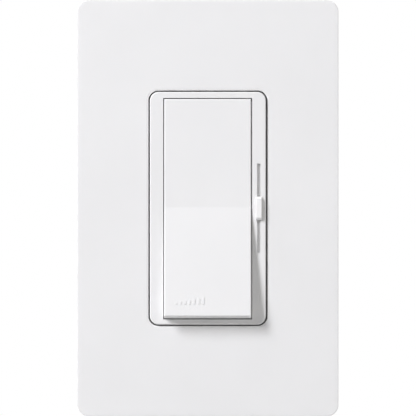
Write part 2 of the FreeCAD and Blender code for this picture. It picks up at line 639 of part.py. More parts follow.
def terminal_plate(side, z_side):
    """The tapped brass plate on a terminal pocket's floor, with the tail that leads to it."""
    x = sorted((side * POCKET_FLOOR, side * (POCKET_FLOOR + 1.0)))
    z = z_side * TERMINAL_Z
    pad = block(x, (POCKET_TOP + 0.5, 27.0), (z - 4.0, z + 4.0))
    return pad, x


def traveller_strip(z_side):
    pad, x = terminal_plate(1, z_side)
    z = sorted((z_side * 8.5, z_side * 12.5))
    tail = block(x, (8.85, POCKET_TOP + 0.6), z)
    run = block((-2.2, x[1]), (8.85, 9.65), z)
    hole = rod_x(THREAD_R + 0.05, x[0] - 1, x[1] + 1, TERMINAL_Y, z_side * TERMINAL_Z)
    return cut(fuse(pad, tail, run), hole)


def common_terminal():
    pad, x = terminal_plate(-1, 1)
    tail = block(x, (BOARD_Y - 0.6, POCKET_TOP + 0.6), (8.5, 12.5))
    hole = rod_x(THREAD_R + 0.05, x[0] - 1, x[1] + 1, TERMINAL_Y, TERMINAL_Z)
    return cut(fuse(pad, tail), hole)


TERMINALS = ((1, 1), (1, -1), (-1, 1))       # (side in x, side in z) of each
TERMINAL_HEAD_R, HEAD_UNDER, HEAD_TOP, SHANK_END = 3.7, 19.4, 21.4, 12.6


def clamp_plates():
    """Square pressure plates under the terminal screws, grooved for the wire."""
    made = []
    for side, z_side in TERMINALS:
        z = z_side * TERMINAL_Z
        x = sorted((side * 18.2, side * 19.35))
        plate = block(x, (TERMINAL_Y - 3.8, TERMINAL_Y + 3.8), (z - 3.8, z + 3.8))
        plate = plate.makeFillet(0.8, [e for e in plate.Edges if abs(e.tangentAt(0).x) > 0.999])
        tools = [rod_x(1.95, x[0] - 1, x[1] + 1, TERMINAL_Y, z)]
        for dz in (-2.8, 2.8):
            tools.append(rod_y(0.75, side * 18.05, z + dz, TERMINAL_Y - 5, TERMINAL_Y + 5))
        made.append(cut(plate, *tools))
    return made


def terminal_screw(side, z_side):
    z = z_side * TERMINAL_Z
    head = rod_x(TERMINAL_HEAD_R, *sorted((side * HEAD_UNDER, side * HEAD_TOP)), TERMINAL_Y, z)
    outer = [e for e in head.Edges if abs(e.CenterOfMass.x - side * HEAD_TOP) < 0.01]
    head = head.makeFillet(0.7, outer)
    shank = rod_x(THREAD_R, *sorted((side * SHANK_END, side * HEAD_UNDER)), TERMINAL_Y, z)
    slot_x = sorted((side * (HEAD_TOP - 1), side * (HEAD_TOP + 1)))
    slot = block(slot_x, (TERMINAL_Y - 5, TERMINAL_Y + 5), (z - 0.55, z + 0.55))
    cross = block(slot_x, (TERMINAL_Y - 0.55, TERMINAL_Y + 0.55), (z - 2.3, z + 2.3))
    return cut(fuse(head, shank), slot, cross)


# ---- Circuit board and its components -----------------------------------------------------------

# (centre x, centre z) of each through-hole pin, by component.
PIN_R = 0.35
CAPACITOR_PINS = ((-0.25, 5.0), (-0.25, 20.0))
TIMING_PINS = ((9.3, 0.2), (9.3, 5.2))
CHOKE_PINS = ((-9.8, -4.6), (6.8, -4.6))
RESISTOR_PLACES = ((-11.6, 25.0), (-8.2, 10.0), (-11.4, 10.0))
DIAC_PLACE = (10.2, -26.0)
RESISTOR_SPAN, DIAC_SPAN = 10.0, 7.6


def triac_pins():
    return [(6.0, TRIAC_Z + dz) for dz in (-2.54, 0, 2.54)]


def axial_pins(place, span):
    x, z = place
    return [(x, z - span / 2), (x, z + span / 2)]


def board_holes():
    places = [*CAPACITOR_PINS, *TIMING_PINS, *CHOKE_PINS, *triac_pins(), *axial_pins(DIAC_PLACE, DIAC_SPAN)]
    for place in RESISTOR_PLACES:
        places += axial_pins(place, RESISTOR_SPAN)
    return [rod_y(PIN_R + 0.12, x, z, BOARD_Y - 1, BOARD_BACK + 1) for x, z in places]


def circuit_board():
    y = (BOARD_Y, BOARD_BACK)
    through = (BOARD_Y - 1, BOARD_BACK + 1)
    board = slab(36.4, 62.4, 1.0, *y)
    tools = board_holes()
    tools.append(block((-30, NOTCH_X + 2.1), through, (-40, NOTCH_Z + 2.1)))
    for x, z in CASE_SCREWS:
        tools.append(rod_y(3.6, x, z, *through))
        if abs(x) > 10:
            tools.append(centred(math.copysign(19.0, x), 6.0, through, math.copysign(31.8, z), 6.0))
        else:
            tools.append(centred(x, 7.2, through, z - 3.0, 6.0))
    for side in SIDES:
        z = sorted((side * 8.2, side * 12.8))
        tools.append(block((POCKET_FLOOR - 0.3, 30), through, z))
    tools.append(block((-POCKET_FLOOR - 1.1, -POCKET_FLOOR + 0.1), through, (8.4, 12.6)))
    tools.append(block((-1.4, 1.4), through, (-0.6, 0.6)))
    for dx in (-1.27, 1.27):
        for z in (-15.4, 15.4):
            tools.append(centred(POT_X + dx, 0.9, through, z, 0.6))
    return cut(board, *tools)


def pin(x, z, y_top=BOARD_BACK + 0.3):
    return rod_y(PIN_R, x, z, BOARD_Y + 0.2, y_top)


def film_capacitor():
    body = block((-4.5, 4.0), (BOARD_BACK + 0.2, 27.0), (3.5, 21.5))
    body = body.makeFillet(0.7, body.Edges)
    return fuse(body, *[pin(x, z) for x, z in CAPACITOR_PINS])


def timing_capacitor():
    body = block((7.5, 11.1), (BOARD_BACK + 0.2, 19.8), (-1.0, 6.4))
    body = body.makeFillet(0.5, body.Edges)
    return fuse(body, *[pin(x, z) for x, z in TIMING_PINS])


def axial(place, radius, length, span):
    """An axial component lying along Z on the back of the board, with its two bent leads."""
    x, z = place
    y = BOARD_BACK + 0.3 + radius
    body = rod_z(radius, x, y, z - length / 2, z + length / 2)
    body = body.makeFillet(radius * 0.35, body.Edges[:1] + body.Edges[-1:])
    lead = rod_z(PIN_R, x, y, z - span / 2, z + span / 2)
    elbows = [Part.makeSphere(PIN_R, V(x, y, pz)) for _, pz in axial_pins(place, span)]
    return fuse(body, lead, *elbows, *[pin(px, pz, y) for px, pz in axial_pins(place, span)])


def resistors():
    return [axial(place, 1.2, 6.3, RESISTOR_SPAN) for place in RESISTOR_PLACES]


def diac():
    return axial(DIAC_PLACE, 0.95, 4.2, DIAC_SPAN)


def triac_package():
    z = (TRIAC_Z - 5.1, TRIAC_Z + 5.1)
    body = block((-6.7, 2.5), (0.45, 4.9), z)
    return body.makeFillet(0.4, edges_at(body, 4.9))


def triac_metal():
    """The mounting tab and the three leads of the power device."""
    tab = block((-13.0, -6.7), (0.45, 1.7), (TRIAC_Z - 5.1, TRIAC_Z + 5.1))
    tab = cut(tab, rod_y(1.8, TRIAC_HOLE_X, TRIAC_Z, -1, 3))
    made = [tab]
    for x, z in triac_pins():
        flat = block((2.5, x + 0.35), (2.7, 3.2), (z - 0.4, z + 0.4))
        down = block((x - 0.25, x + 0.35), (2.7, BOARD_Y - 0.4), (z - 0.4, z + 0.4))
        made.append(fuse(flat, down, rod_y(PIN_R, x, z, BOARD_Y - 0.5, BOARD_BACK + 0.7)))
    return made


def triac_insulator():
    sheet = block((-13.4, 3.0), (0, 0.4), (TRIAC_Z - 5.6, TRIAC_Z + 5.6))
    return cut(sheet, rod_y(1.7, TRIAC_HOLE_X, TRIAC_Z, -1, 1))


def triac_rivet():
    x, z = TRIAC_HOLE_X, TRIAC_Z
    head = cone_y(2.65, 1.55, x, z, YOKE_FRONT, YOKE_FRONT + 1.1)
    shank = rod_y(1.55, x, z, YOKE_FRONT + 1.1, 2.0)
    tail = rod_y(2.6, x, z, 1.72, 2.6)
    tail = tail.makeFillet(0.5, edges_at(tail, 2.6))
    return cut(fuse(head, shank, tail), rod_y(0.8, x, z, YOKE_FRONT - 1, YOKE_FRONT + 1.2))


CHOKE_INNER_R, CHOKE_OUTER_R, CHOKE_Y = 4.6, 9.2, (13.6, 22.0)
WIRE_R = 0.4


def choke_core():
    ring = rod_y(CHOKE_OUTER_R, CHOKE_X, CHOKE_Z, *CHOKE_Y)
    ring = cut(ring, rod_y(CHOKE_INNER_R, CHOKE_X, CHOKE_Z, CHOKE_Y[0] - 1, CHOKE_Y[1] + 1))
    return ring.makeFillet(0.8, edges_at(ring, CHOKE_Y[0]) + edges_at(ring, CHOKE_Y[1]))


def winding_turn(angle):
    """One turn of enamelled wire round the core's section."""
    gap = WIRE_R + 0.03
    bend = 0.8 + gap
    y0, y1 = CHOKE_Y[0] - gap, CHOKE_Y[1] + gap
    r0, r1 = CHOKE_INNER_R - gap, CHOKE_OUTER_R + gap
    loop = Part.makePolygon([V(r0, y0, 0), V(r1, y0, 0), V(r1, y1, 0), V(r0, y1, 0), V(r0, y0, 0)])
    loop = Part.Face(loop).extrude(V(0, 0, 1))
    loop = loop.makeFillet(bend, [e for e in loop.Edges if abs(e.tangentAt(0).z) > 0.999])
    path = next(f for f in loop.Faces if abs(f.CenterOfMass.z) < 1e-6).OuterWire
    start = V((r0 + r1) / 2, y0, 0)
    section = Part.Wire(Part.makeCircle(WIRE_R, start, X_AXIS))
    turn = path.makePipeShell([section], True, False)
    turn.rotate(V(0, 0, 0), Y_AXIS, angle)
    turn.translate(V(CHOKE_X, 0, CHOKE_Z))
    return turn


def choke_winding():
    turns, start, sweep = 20, 30, 240
    return [winding_turn(start - i * sweep / (turns - 1)) for i in range(turns)]


def choke_leads():
    """The two wire ends that drop from the winding to the board."""
    made = []
    for x, z in CHOKE_PINS:
        made.append(fuse(rod_y(WIRE_R, x, z, BOARD_BACK - 0.9, 17.0), Part.makeSphere(WIRE_R, V(x, 17.0, z))))
    return made


# ---- Case ---------------------------------------------------------------------------------------

def case_outline(inset, y0, y1):
    """The case's plan with its notched corner, brought in by inset."""
    x, z = CASE_W / 2 - inset, CASE_H / 2 - inset
    nx, nz = NOTCH_X + inset, NOTCH_Z + inset
    points = [(x, -z), (x, z), (-x, z), (-x, nz), (nx, nz), (nx, -z)]
    wire = Part.makePolygon([V(px, y0, pz) for px, pz in points + points[:1]])
    return Part.Face(wire).extrude(V(0, y1 - y0, 0))


def back_case():
    outer = case_outline(0, 0, CASE_DEPTH)
    outer = outer.makeFillet(CASE_CORNER, upright_edges(outer))
    outer = outer.makeChamfer(0.8, edges_at(outer, CASE_DEPTH))
    inner = case_outline(CASE_WALL, -1, CASE_FLOOR)
    body = cut(outer, inner)
    within = case_outline(0.3, 0, CASE_DEPTH - 0.5)
    pieces = [body]
    for x, z in CASE_SCREWS:
        pieces.append(rod_y(3.1, x, z, 0, CASE_FLOOR + 0.5).common(within))
    for x, z in ((17.6, 22.5), (-17.6, 22.5), (17.6, -22.5), (-17.6, -6.0)):
        pieces.append(centred(x, 2.6, (BOARD_BACK, CASE_FLOOR + 0.5), z, 2.5).common(within))
    for side, z_side in TERMINALS:
        z = z_side * TERMINAL_Z
        half = POCKET_HALF + POCKET_WALL
        x = sorted((side * (POCKET_FLOOR - POCKET_WALL), side * (CASE_W / 2 - 0.5)))
        pieces.append(block(x, (POCKET_TOP - POCKET_WALL, CASE_FLOOR + 0.5), (z - half, z + half)))
    body = fuse(*pieces)
    tools = []
    for x, z in CASE_SCREWS:
        tools.append(rod_y(1.35, x, z, -1, 11.0))
    for side, z_side in TERMINALS:
        z = z_side * TERMINAL_Z
        x = sorted((side * POCKET_FLOOR, side * 30))
        tools.append(block(x, (POCKET_TOP, CASE_DEPTH + 1), (z - POCKET_HALF, z + POCKET_HALF)))
        deep = sorted((side * (POCKET_FLOOR - 2), side * (POCKET_FLOOR + 0.5)))
        tools.append(rod_x(2.1, *deep, TERMINAL_Y, z))
        tail_x = sorted((side * (POCKET_FLOOR - 0.05), side * (POCKET_FLOOR + 1.05)))
        tools.append(block(tail_x, (POCKET_TOP - 3, POCKET_TOP + 1), sorted((z_side * 8.4, z_side * 12.6))))
    tools.append(slab(22.0, 30.0, 1.0, CASE_DEPTH - 0.35, CASE_DEPTH + 1, cz=-2.0))
    tools.append(slab(10.0, 1.6, 0.7, CASE_DEPTH - 0.9, CASE_DEPTH + 1, cz=27.5))
    return cut(body, *tools)


# ---- Export -------------------------------------------------------------------------------------

NODES = {
    "cover_plate": cover_plate,
    "adapter_plate": adapter_plate,
    "adapter_screws": adapter_screws,
    "yoke_heatsink": yoke_heatsink,
    "mounting_screws": mounting_screws,
    "screw_retainers": screw_retainers,
    "case_screws": case_screws,
    "ground_screw": ground_screw,
    "bezel_frame": bezel_frame,
    "rocker_paddle": rocker_paddle,
    "plunger": plunger,
    "plunger_spring": plunger_spring,
    "slider_knob": slider_knob,
    "slider_carriage": slider_carriage,
    "pot_cover": pot_cover,
    "pot_base": pot_base,
    "pot_track": pot_track,
    "pot_lever": pot_lever,
    "wiper_contacts": wiper_contacts,
    "contact_blade": contact_blade,
    "moving_contacts": moving_contacts,
    "fixed_contacts": fixed_contacts,
    "fulcrum_bracket": fulcrum_bracket,
    "switch_base": switch_base,
    "upper_traveller_strip": lambda: traveller_strip(1),
    "lower_traveller_strip": lambda: traveller_strip(-1),
    "common_terminal": common_terminal,
    "clamp_plates": clamp_plates,
    "traveller_screws": lambda: [terminal_screw(1, 1), terminal_screw(1, -1)],
    "common_screw": lambda: terminal_screw(-1, 1),
    "circuit_board": circuit_board,
    "film_capacitor": film_capacitor,
    "timing_capacitor": timing_capacitor,
    "resistors": resistors,
    "diac": diac,
    "triac_package": triac_package,
    "triac_metal": triac_metal,
    "triac_insulator": triac_insulator,
    "triac_rivet": triac_rivet,
    "choke_core": choke_core,
    "choke_winding": choke_winding,
    "choke_leads": choke_leads,
    "back_case": back_case,
}


def main():
    os.makedirs("parts", exist_ok=True)
    for name, make in NODES.items():
        shape = make()
        if isinstance(shape, list):
            shape = Part.makeCompound([s for piece in shape for s in piece.Solids])
        bad = [s for s in shape.Solids if not s.isValid() or s.Volume <= 0]
        if bad or not shape.Solids:
            print(f"{name}: {len(bad)} of {len(shape.Solids)} solids are bad")
        if len(shape.Solids) == 1:
            shape = shape.Solids[0]
        shape.exportStep(os.path.join("parts", name + ".step"))
        print(f"{name}: {len(shape.Solids)} solid(s), {shape.Volume:.1f} mm3")


main()
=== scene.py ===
"""Looks for the paddle dimmer: materials, threads, small components and studio, round its CAD frame."""
import json
import math

import bmesh
import bpy
from mathutils import Matrix, Vector


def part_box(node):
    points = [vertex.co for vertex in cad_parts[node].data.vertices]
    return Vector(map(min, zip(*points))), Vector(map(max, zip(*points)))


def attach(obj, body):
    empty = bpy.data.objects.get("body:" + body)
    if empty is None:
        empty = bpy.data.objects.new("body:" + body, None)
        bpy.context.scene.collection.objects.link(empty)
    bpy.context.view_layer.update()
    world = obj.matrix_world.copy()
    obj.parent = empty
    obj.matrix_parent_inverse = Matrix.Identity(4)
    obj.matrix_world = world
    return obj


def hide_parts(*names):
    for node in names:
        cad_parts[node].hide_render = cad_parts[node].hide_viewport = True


MM = 0.001
SMOOTH_ANGLE = math.radians(35)    # edges sharper than this stay sharp
SAME_POINT = 0.0001 * MM           # points closer than this are one

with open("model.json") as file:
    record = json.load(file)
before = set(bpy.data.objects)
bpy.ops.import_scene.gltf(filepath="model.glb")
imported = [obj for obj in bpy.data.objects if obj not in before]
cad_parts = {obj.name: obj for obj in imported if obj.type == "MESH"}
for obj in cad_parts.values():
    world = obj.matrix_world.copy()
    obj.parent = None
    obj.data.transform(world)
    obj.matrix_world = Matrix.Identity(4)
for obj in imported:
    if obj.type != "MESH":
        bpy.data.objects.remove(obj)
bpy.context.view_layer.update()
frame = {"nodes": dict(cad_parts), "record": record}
NODES = frame["nodes"]


# ---- Node-tree helpers --------------------------------------------------------------------------

class Surface:
    """A material's node tree, with short calls for the nodes that the materials below share."""

    def __init__(self, name, colour, roughness, metallic=0.0):
        self.material = bpy.data.materials.new(name)
        self.material.use_nodes = True
        self.tree = self.material.node_tree
        self.shader = self.tree.nodes["Principled BSDF"]
        self.shader.inputs["Base Color"].default_value = (*colour, 1)
        self.shader.inputs["Roughness"].default_value = roughness
        self.shader.inputs["Metallic"].default_value = metallic
        self.place = self.node("ShaderNodeTexCoord").outputs["Object"]
        self.bumps = []

    def node(self, kind, **settings):
        made = self.tree.nodes.new(kind)
        for key, value in settings.items():
            setattr(made, key, value)
        return made

    def link(self, source, target):
        self.tree.links.new(source, target)

    def stretched(self, factors):
        """The object's coordinates multiplied along each axis, for grain that runs one way."""
        mapping = self.node("ShaderNodeMapping")
        mapping.inputs["Scale"].default_value = factors
        self.link(self.place, mapping.inputs["Vector"])
        return mapping.outputs["Vector"]

    def noise(self, size, detail=2.0, place=None):
        """Noise whose features are about size metres across."""
        made = self.node("ShaderNodeTexNoise")
        made.inputs["Scale"].default_value = 1 / size
        made.inputs["Detail"].default_value = detail
        self.link(place or self.place, made.inputs["Vector"])
        return made.outputs["Fac"]

    def cells(self, size):
        """Rounded pits about size metres across."""
        made = self.node("ShaderNodeTexVoronoi")
        made.inputs["Scale"].default_value = 1 / size
        self.link(self.place, made.inputs["Vector"])
        return made.outputs["Distance"]

    def ramp(self, factor, low, high, start=0.3, end=0.7):
        """A number that goes from low to high as the factor goes from start to end."""
        made = self.node("ShaderNodeMapRange")
        made.inputs["From Min"].default_value = start
        made.inputs["From Max"].default_value = end
        made.inputs["To Min"].default_value = low
        made.inputs["To Max"].default_value = high
        self.link(factor, made.inputs["Value"])
        return made.outputs["Result"]

    def blend(self, factor, first, second):
        """A colour between two, each a colour or a socket."""
        made = self.node("ShaderNodeMix", data_type="RGBA")
        self.link(factor, made.inputs["Factor"])
        for name, value in (("A", first), ("B", second)):
            socket = next(s for s in made.inputs if s.name == name and s.type == "RGBA")
            if isinstance(value, bpy.types.NodeSocket):
                self.link(value, socket)
            else:
                socket.default_value = (*value, 1)
        return next(s for s in made.outputs if s.type == "RGBA")

    def colour(self, socket):
        self.link(socket, self.shader.inputs["Base Color"])

    def rough(self, socket):
        self.link(socket, self.shader.inputs["Roughness"])

    def bump(self, height, depth):
        """Adds a bump of that depth in metres on top of those already there."""
        made = self.node("ShaderNodeBump")
        made.inputs["Distance"].default_value = depth
        made.inputs["Strength"].default_value = 1.0
        self.link(height, made.inputs["Height"])
        if self.bumps:
            self.link(self.bumps[-1].outputs["Normal"], made.inputs["Normal"])
        self.bumps.append(made)
        self.link(made.outputs["Normal"], self.shader.inputs["Normal"])


def shade(colour, factor):
    """The colour made lighter or darker by a factor."""
    return tuple(min(1.0, c * factor) for c in colour)


# ---- Materials ----------------------------------------------------------------------------------

def moulded_white(name, colour, roughness, grain=0.09 * MM, depth=0.004 * MM):
    """White moulded plastic: faint flow mottling, and the fine grain that the mould leaves."""
    s = Surface(name, colour, roughness)
    s.shader.inputs["Subsurface Weight"].default_value = 0.04
    s.shader.inputs["Subsurface Radius"].default_value = (1.0, 0.9, 0.8)
    s.shader.inputs["Subsurface Scale"].default_value = 0.6 * MM
    s.shader.inputs["IOR"].default_value = 1.52
    flow = s.noise(22 * MM, 3.0)
    s.colour(s.blend(s.ramp(flow, 0, 1), shade(colour, 0.988), shade(colour, 1.012)))
    s.rough(s.ramp(s.noise(4 * MM, 3.0), roughness - 0.04, roughness + 0.05))
    s.bump(s.noise(grain), depth)
    s.bump(s.noise(14 * MM, 1.0), 0.02 * MM)
    return s.material


def moulded_dark(name, colour, roughness):
    """Dark glass-filled plastic with spark-eroded texture and pale fibre streaks."""
    s = Surface(name, colour, roughness)
    streaks = s.noise(0.25 * MM, 4.0, s.stretched((1, 1, 0.12)))
    clouds = s.noise(9 * MM, 3.0)
    pale = s.blend(s.ramp(streaks, 0, 1, 0.56, 0.80), colour, shade(colour, 2.1))
    s.colour(s.blend(s.ramp(clouds, 0, 0.45), pale, shade(colour, 0.72)))
    s.rough(s.ramp(clouds, roughness - 0.07, roughness + 0.09))
    s.bump(s.cells(0.20 * MM), 0.025 * MM)
    s.bump(s.noise(0.6 * MM, 3.0), 0.02 * MM)
    return s.material


def rolled_metal(name, colour, roughness, along=(1, 1, 0.02)):
    """Sheet metal with rolling lines one way, slight waviness and uneven shine."""
    s = Surface(name, colour, roughness, 1.0)
    lines = s.noise(0.06 * MM, 3.0, s.stretched(along))
    patches = s.noise(7 * MM, 4.0)
    s.colour(s.blend(s.ramp(lines, 0, 1), shade(colour, 0.90), shade(colour, 1.06)))
    s.rough(s.ramp(patches, roughness - 0.03, roughness + 0.05))
    s.shader.inputs["Anisotropic"].default_value = 0.35
    s.bump(lines, 0.003 * MM)
    s.bump(s.noise(2.4 * MM, 3.0), 0.005 * MM)
    return s.material


def plated_metal(name, colour, roughness, tint=None, metallic=1.0):
    """Plated metal: cloudy plating colour, uneven shine and fine pits."""
    s = Surface(name, colour, roughness, metallic)
    clouds = s.noise(1.6 * MM, 4.0)
    s.colour(s.blend(s.ramp(clouds, 0, 1), shade(colour, 0.86), tint or shade(colour, 1.08)))
    s.rough(s.ramp(s.noise(0.7 * MM, 3.0), roughness - 0.06, roughness + 0.12))
    s.bump(s.noise(0.12 * MM, 3.0), 0.006 * MM)
    return s.material


def lacquered(name, colour, roughness=0.3):
    """A dipped or lacquered component body, uneven where the coat ran."""
    s = Surface(name, colour, roughness)
    s.shader.inputs["Coat Weight"].default_value = 0.5
    s.shader.inputs["Coat Roughness"].default_value = 0.12
    run = s.noise(2.5 * MM, 3.0)
    s.colour(s.blend(s.ramp(run, 0, 1), shade(colour, 0.82), shade(colour, 1.12)))
    s.rough(s.ramp(run, roughness - 0.05, roughness + 0.08))
    s.bump(s.noise(1.6 * MM, 1.0), 0.02 * MM)
    return s.material


def banded(name, colour, bands):
    """A lacquered body with painted rings; bands are (place along the body's axis, colour)."""
    s = Surface(name, colour, 0.38)
    s.shader.inputs["Coat Weight"].default_value = 0.4
    run = s.noise(1.2 * MM, 3.0)
    tone = s.blend(s.ramp(run, 0, 1), shade(colour, 0.85), shade(colour, 1.10))
    split = s.node("ShaderNodeSeparateXYZ")
    s.link(s.place, split.inputs[0])
    for place, paint in bands:
        near = s.node("ShaderNodeMath", operation="COMPARE")
        near.inputs[1].default_value = place
        near.inputs[2].default_value = BAND_W / 2
        s.link(split.outputs["Z"], near.inputs[0])
        tone = s.blend(near.outputs[0], tone, paint)
    s.colour(tone)
    s.rough(s.ramp(run, 0.30, 0.46))
    s.bump(s.noise(0.7 * MM, 2.0), 0.02 * MM)
    return s.material


def laminate_board(name, mask):
    """Green solder mask over glass cloth, whose two crossing sets of threads show faintly."""
    s = Surface(name, mask, 0.32)
    upright = s.noise(0.35 * MM, 2.0, s.stretched((1, 1, 0.15)))
    level = s.noise(0.35 * MM, 2.0, s.stretched((0.15, 1, 1)))
    clouds = s.noise(6 * MM, 3.0)
    woven = s.blend(s.ramp(upright, 0, 1), shade(mask, 0.78), shade(mask, 1.22))
    crossed = s.blend(s.ramp(level, 0, 0.6), woven, shade(mask, 1.30))
    s.colour(s.blend(s.ramp(clouds, 0, 0.4), crossed, shade(mask, 0.80)))
    s.rough(s.ramp(clouds, 0.24, 0.42))
    s.bump(upright, 0.006 * MM)
    s.bump(level, 0.006 * MM)
    return s.material


def fibre_sheet(name, colour):
    """Vulcanised fibre or phenolic: short crossing fibres in the colour and the surface."""
    s = Surface(name, colour, 0.72)
    fibres = s.noise(0.3 * MM, 4.0, s.stretched((1, 1, 0.3)))
    s.colour(s.blend(s.ramp(fibres, 0, 1), shade(colour, 0.78), shade(colour, 1.15)))
    s.rough(s.ramp(fibres, 0.62, 0.82))
    s.bump(fibres, 0.02 * MM)
    return s.material


def silver_contact(name):
    """Rolled silver, a little tarnished toward straw."""
    s = Surface(name, (0.86, 0.85, 0.82), 0.25, 1.0)
    stain = s.noise(0.6 * MM, 4.0)
    s.colour(s.blend(s.ramp(stain, 0, 1), (0.90, 0.89, 0.87), (0.74, 0.68, 0.54)))
    s.rough(s.ramp(stain, 0.18, 0.36))
    s.bump(s.noise(0.1 * MM, 2.0), 0.004 * MM)
    return s.material


WHITE = (0.868, 0.865, 0.862)
BROWN = (0.16, 0.06, 0.02)
BLACK = (0.02, 0.02, 0.02)
ORANGE = (0.80, 0.22, 0.02)
GOLD = (0.55, 0.40, 0.12)
BAND_W = 0.5 * MM
RESISTOR_BANDS = ((-2.1 * MM, BROWN), (-1.1 * MM, BLACK), (-0.1 * MM, ORANGE), (2.1 * MM, GOLD))

SLOT_MATERIALS = {
    "cover_white": moulded_white("cover_plastic", shade(WHITE, 0.985), 0.42, 0.16 * MM, 0.007 * MM),
    "adapter_white": moulded_white("adapter_plastic", shade(WHITE, 0.93), 0.55),
    "bezel_white": moulded_white("bezel_plastic", shade(WHITE, 0.985), 0.36),
    "paddle_white": moulded_white("paddle_plastic", WHITE, 0.32, 0.08 * MM, 0.003 * MM),
    "knob_white": moulded_white("knob_plastic", shade(WHITE, 1.05), 0.30, 0.07 * MM, 0.002 * MM),
    "carriage_white": moulded_white("carriage_acetal", shade(WHITE, 0.97), 0.45),
    "plunger_nylon": moulded_white("natural_nylon", (0.78, 0.75, 0.66), 0.45),
    "spring_steel": plated_metal("spring_wire", (0.50, 0.50, 0.51), 0.30),
    "yoke_aluminium": rolled_metal("mill_aluminium", (0.80, 0.81, 0.82), 0.36),
    "zinc_steel": plated_metal("bright_zinc", (0.72, 0.74, 0.77), 0.28, (0.80, 0.80, 0.74)),
    "retainer_fibre": fibre_sheet("vulcanised_fibre", (0.52, 0.42, 0.28)),
    "ground_green": plated_metal("green_plating", (0.03, 0.34, 0.12), 0.30, (0.06, 0.46, 0.16), 0.75),
    "pot_steel": rolled_metal("tinplate", (0.70, 0.70, 0.70), 0.30),
    "pot_laminate": fibre_sheet("phenolic_sheet", (0.30, 0.15, 0.06)),
    "carbon_track": fibre_sheet("carbon_film", (0.03, 0.03, 0.03)),
    "lever_black": moulded_dark("lever_acetal", (0.03, 0.03, 0.03), 0.45),
    "contact_silver": silver_contact("contact_silver"),
    "blade_copper": rolled_metal("blade_copper", (0.86, 0.50, 0.32), 0.30),
    "brass": rolled_metal("stamped_brass", (0.84, 0.63, 0.28), 0.27, (1, 1, 0.05)),
    "black_oxide": plated_metal("black_oxide", (0.06, 0.06, 0.065), 0.36, (0.10, 0.09, 0.08), 0.8),
    "switch_grey": moulded_dark("switch_thermoset", (0.22, 0.23, 0.24), 0.60),
    "board_laminate": laminate_board("circuit_laminate", (0.03, 0.17, 0.07)),
    "capacitor_blue": lacquered("capacitor_blue_epoxy", (0.05, 0.14, 0.42)),
    "capacitor_red": lacquered("capacitor_red_epoxy", (0.42, 0.08, 0.04)),
    "resistor_tan": banded("resistor_lacquer", (0.66, 0.48, 0.28), RESISTOR_BANDS),
    "diac_blue": lacquered("diac_lacquer", (0.06, 0.20, 0.55), 0.2),
    "epoxy_black": moulded_dark("package_epoxy", (0.025, 0.025, 0.027), 0.5),
    "tinned_copper": plated_metal("tinned_copper", (0.78, 0.78, 0.76), 0.25),
    "insulator_clear": lacquered("polyimide_film", (0.70, 0.38, 0.08), 0.25),
    "rivet_aluminium": plated_metal("rivet_aluminium", (0.80, 0.80, 0.81), 0.32),
    "core_yellow": lacquered("core_epoxy", (0.74, 0.58, 0.06), 0.45),
    "enamelled_copper": plated_metal("enamelled_copper", (0.66, 0.24, 0.08), 0.2, (0.78, 0.34, 0.12)),
    "case_black": moulded_dark("case_plastic", (0.030, 0.030, 0.033), 0.52),
}


def dress_cad_nodes():
    """Every CAD node gets the material of its slot."""
    for row in frame["record"]["subparts"]:
        node = NODES[row["node"]]
        node.data.materials.clear()
        node.data.materials.append(SLOT_MATERIALS[row["material_slot"]])


# ---- Threaded screws ----------------------------------------------------------------------------

MACHINE_THREAD = {"radius": 1.75 * MM, "depth": 0.44 * MM, "pitch": 0.794 * MM}    # number 6-32
PLASTIC_THREAD = {"radius": 1.30 * MM, "depth": 0.40 * MM, "pitch": 1.05 * MM}
STEPS = 40                   # points in one turn
POINT_DROP = 0.25 * MM       # how much thinner the shank is at its very tip
CREST, ROOT = 0.12, 0.18     # shares of the pitch that are flat
FADE_IN = 0.8                # share of the pitch over which the thread rises beside the head
RIM_TOLERANCE = 0.001 * MM

INTO_WALL, RIGHTWARD, LEFTWARD = (0, 1, 0), (1, 0, 0), (-1, 0, 0)
# Node, slot, way from head to tip; where the thread starts and ends along that way and how long its
# tapering point is, in millimetres; kind of thread.
SCREWS = (
    ("mounting_screws", "zinc_steel", INTO_WALL, 0.4, 21.8, 1.2, MACHINE_THREAD),
    ("adapter_screws", "zinc_steel", INTO_WALL, -2.3, 3.5, 0.8, MACHINE_THREAD),
    ("case_screws", "zinc_steel", INTO_WALL, -0.3, 9.6, 2.0, PLASTIC_THREAD),
    ("ground_screw", "ground_green", RIGHTWARD, -14.98, -11.1, 0.6, MACHINE_THREAD),
    ("traveller_screws", "brass", LEFTWARD, -19.38, -12.6, 0.8, MACHINE_THREAD),
    ("common_screw", "black_oxide", RIGHTWARD, -19.38, -12.6, 0.8, MACHINE_THREAD),
)


